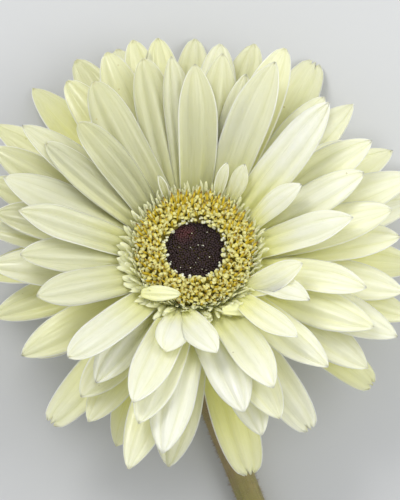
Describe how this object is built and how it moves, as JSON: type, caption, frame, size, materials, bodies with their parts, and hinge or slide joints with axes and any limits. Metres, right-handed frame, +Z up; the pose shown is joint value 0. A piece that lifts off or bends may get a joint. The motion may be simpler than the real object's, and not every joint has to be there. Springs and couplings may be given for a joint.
{
  "type": "cut gerbera flower",
  "caption": "Cut cream gerbera lying down: long bent stem, green cup of bracts, ring of florets round a dark eye, and rows of ray petals facing up.",
  "frame": {"origin": "on the surface it lies on, under the middle of the whole flower's box", "axes": "+Z up from the surface, +Y along the flower from the cut end of the stem to the head, +X to the right of that, seen from above"},
  "size_m": [0.1553, 0.4208, 0.0567],
  "materials": {
    "petal": "satin",
    "eye": "matte",
    "floret": "matte",
    "fringe": "satin",
    "receptacle": "matte",
    "bract": "matte",
    "stem": "matte"
  },
  "bodies": {
    "root": {"dark_eye": "eye", "floret_ring": "floret", "involucre": "bract", "petal_fifth_01": "petal", "petal_fifth_02": "petal", "petal_fifth_03": "petal", "petal_fifth_04": "petal", "petal_fifth_05": "petal", "petal_fifth_06": "petal", "petal_fifth_07": "petal", "petal_fifth_08": "petal", "petal_fifth_09": "petal", "petal_fifth_10": "petal", "petal_fourth_01": "petal", "petal_fourth_02": "petal", "petal_fourth_03": "petal", "petal_fourth_04": "petal", "petal_fourth_05": "petal", "petal_fourth_06": "petal", "petal_fourth_07": "petal", "petal_fourth_08": "petal", "petal_fourth_09": "petal", "petal_inner_01": "petal", "petal_inner_02": "petal", "petal_inner_03": "petal", "petal_inner_04": "petal", "petal_inner_05": "petal", "petal_inner_06": "petal", "petal_inner_07": "petal", "petal_inner_08": "petal", "petal_outer_01": "petal", "petal_outer_02": "petal", "petal_outer_03": "petal", "petal_outer_04": "petal", "petal_outer_05": "petal", "petal_outer_06": "petal", "petal_outer_07": "petal", "petal_outer_08": "petal", "petal_outer_09": "petal", "petal_outer_10": "petal", "petal_outer_11": "petal", "petal_outer_12": "petal", "petal_second_01": "petal", "petal_second_02": "petal", "petal_second_03": "petal", "petal_second_04": "petal", "petal_second_05": "petal", "petal_second_06": "petal", "petal_second_07": "petal", "petal_second_08": "petal", "petal_second_09": "petal", "petal_second_10": "petal", "petal_second_11": "petal", "petal_third_01": "petal", "petal_third_02": "petal", "petal_third_03": "petal", "petal_third_04": "petal", "ray_fringe": "fringe", "receptacle": "receptacle", "stem": "stem"}
  },
  "joints": []
}
